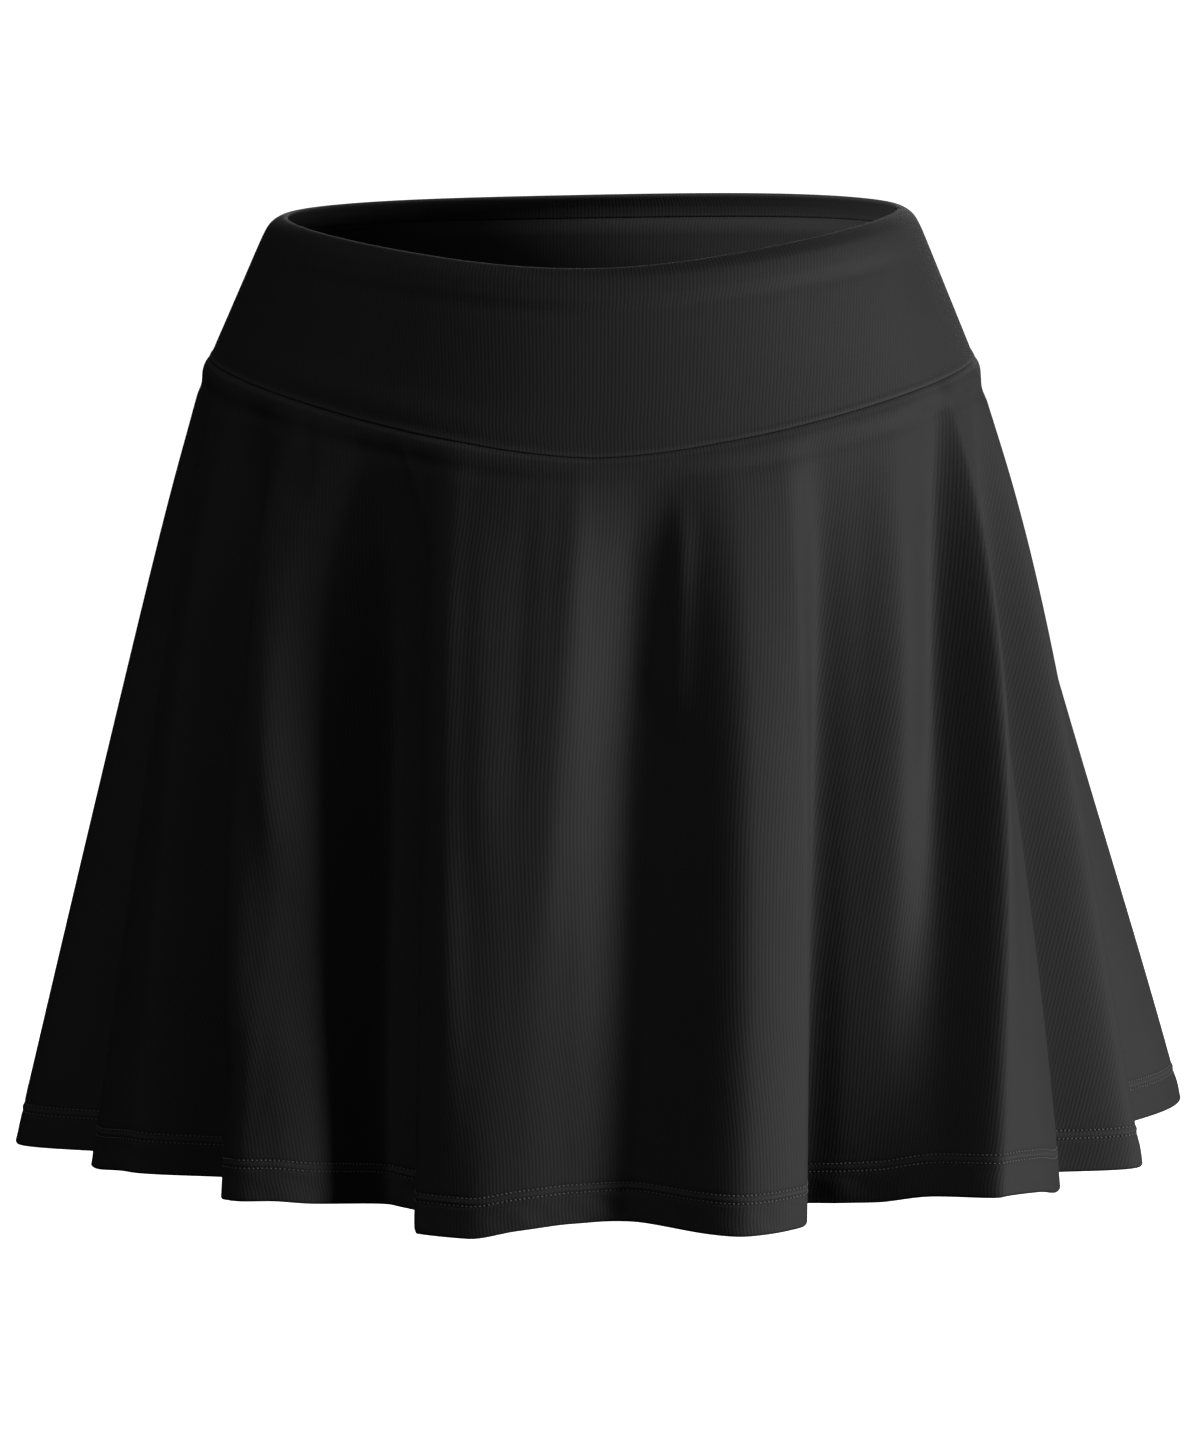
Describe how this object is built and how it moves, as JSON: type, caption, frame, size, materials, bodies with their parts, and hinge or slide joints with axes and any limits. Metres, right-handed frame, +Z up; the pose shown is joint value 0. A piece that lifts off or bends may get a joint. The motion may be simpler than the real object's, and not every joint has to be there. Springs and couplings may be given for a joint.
{
  "type": "tennis skort",
  "caption": "Flared jersey tennis skort with a wide shaped waistband yoke, softly folded circle-cut skirt, twin-needle hem and plain inner shorts.",
  "frame": {"origin": "middle of the waist opening, level with the waistband's top edge at the side seams", "axes": "+Z up, wearer's front towards -Y, wearer's left towards +X"},
  "size_m": [0.4718, 0.3865, 0.3742],
  "materials": {
    "waistband_jersey": "smooth matte black knit with a faint sheen",
    "facing_jersey": "matte black knit, wrong side",
    "skirt_jersey": "smooth black knit with a soft satin sheen on the folds",
    "shorts_jersey": "close matte black stretch knit",
    "seam_thread": "black spun polyester thread"
  },
  "bodies": {
    "root": {"yoke_front": "waistband_jersey", "yoke_back": "waistband_jersey", "facing_front": "facing_jersey", "facing_back": "facing_jersey", "skirt_front": "skirt_jersey", "skirt_back": "skirt_jersey", "shorts_left": "shorts_jersey", "shorts_right": "shorts_jersey"}
  },
  "joints": []
}
